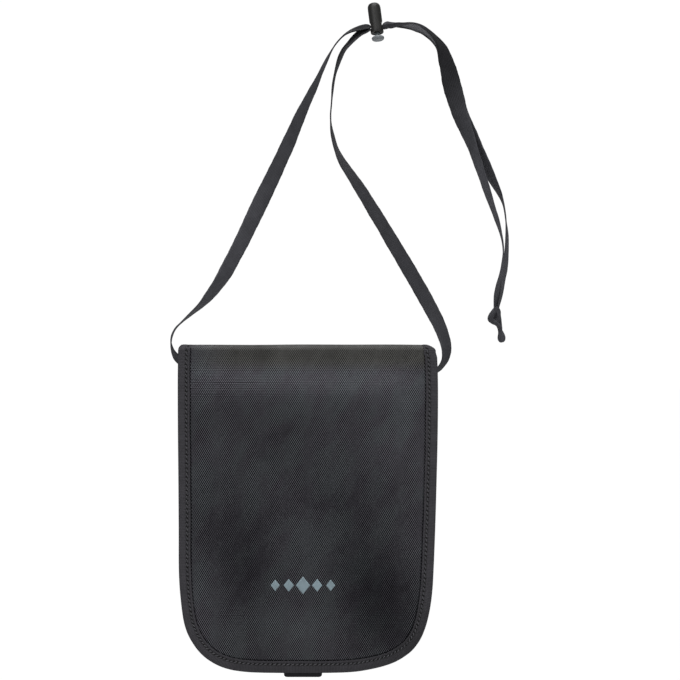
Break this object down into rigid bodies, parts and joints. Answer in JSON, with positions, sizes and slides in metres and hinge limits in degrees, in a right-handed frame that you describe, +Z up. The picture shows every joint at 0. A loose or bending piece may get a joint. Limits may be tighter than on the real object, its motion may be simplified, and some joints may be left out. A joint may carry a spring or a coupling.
{
  "type": "neck pouch wallet",
  "caption": "Flat upright travel pouch with a full-length bound flap over a zipped front, hung on a flat neck strap through a spring cord lock with a knotted tail.",
  "frame": {"origin": "centre of the flat back face of the pouch body", "axes": "+Y out of the back face, away from the wearer's view of the front; +Z up, along the pouch's height towards the neck strap; the flap and its front face -Y"},
  "size_m": [0.2095, 0.0328, 0.4195],
  "materials": {
    "shell_cloth": "matt plain weave",
    "lining_cloth": "smooth light lining",
    "edge_binding": "ribbed woven tape",
    "webbing": "soft flat webbing",
    "zip_tape": "fine twill tape",
    "zip_coil": "satin coil",
    "zip_metal": "dark painted die-cast",
    "hook_loop": "hook and loop pile",
    "tab_tape": "smooth coated tape",
    "lock_plastic": "moulded gloss",
    "button_plastic": "moulded satin grey",
    "spring_steel": "bright wire"
  },
  "bodies": {
    "pouch": {"back_panel": "shell_cloth", "back_lining": "lining_cloth", "divider_panel": "lining_cloth", "front_panel_lower": "shell_cloth", "front_panel_upper": "shell_cloth", "mouth_binding": "edge_binding", "body_binding": "edge_binding", "strap_anchor_left": "webbing", "strap_anchor_right": "webbing", "zip_tape_upper": "zip_tape", "zip_tape_lower": "zip_tape", "zip_coil_upper": "zip_coil", "zip_coil_lower": "zip_coil", "zip_stop_left": "zip_metal", "zip_stop_right": "zip_metal", "loop_patch": "hook_loop"},
    "flap": {"flap_shell": "shell_cloth", "flap_lining": "lining_cloth", "flap_binding": "edge_binding", "pull_tab": "tab_tape", "hook_patch": "hook_loop"},
    "zip_slider": {"zip_slider": "zip_metal"},
    "zip_pull": {"zip_pull": "zip_metal"},
    "neck_strap": {"strap_left": "webbing", "strap_right": "webbing"},
    "cord_lock": {"lock_barrel": "lock_plastic", "lock_spring": "spring_steel"},
    "lock_button": {"lock_plunger": "button_plastic"},
    "strap_tail": {"tail_inner": "webbing", "tail_outer": "webbing", "strap_knot": "webbing"}
  },
  "joints": [
    {"name": "flap_hinge", "type": "hinge", "parent": "pouch", "child": "flap", "pos_m": [0, -0.003, 0.098], "axis": [-1, 0, 0], "range_deg": [0, 180]},
    {"name": "zip_slide", "type": "slide", "parent": "pouch", "child": "zip_slider", "axis": [1, 0, 0], "range_m": [-0.092, 0]},
    {"name": "zip_pull_swing", "type": "hinge", "parent": "zip_slider", "child": "zip_pull", "pos_m": [0.046, -0.0088, 0.05], "axis": [0, -1, 0], "range_deg": [-45, 45]},
    {"name": "strap_swing", "type": "hinge", "parent": "pouch", "child": "neck_strap", "pos_m": [0, -0.003, 0.091], "axis": [1, 0, 0], "range_deg": [-120, 120]},
    {"name": "lock_slide", "type": "slide", "parent": "neck_strap", "child": "cord_lock", "axis": [0.9923, 0, 0.1236], "range_m": [-0.006, 0]},
    {"name": "button_press", "type": "slide", "parent": "cord_lock", "child": "lock_button", "axis": [-0.1176, 0.309, 0.9438], "range_m": [0, 0.0017], "stiffness_N_per_m": 600, "springref_m": -0.001, "deforming": ["lock_spring"]},
    {"name": "tail_swing", "type": "hinge", "parent": "neck_strap", "child": "strap_tail", "pos_m": [0.0485, 0.014, 0.2997], "axis": [0, -1, 0], "range_deg": [-5, 60]}
  ]
}
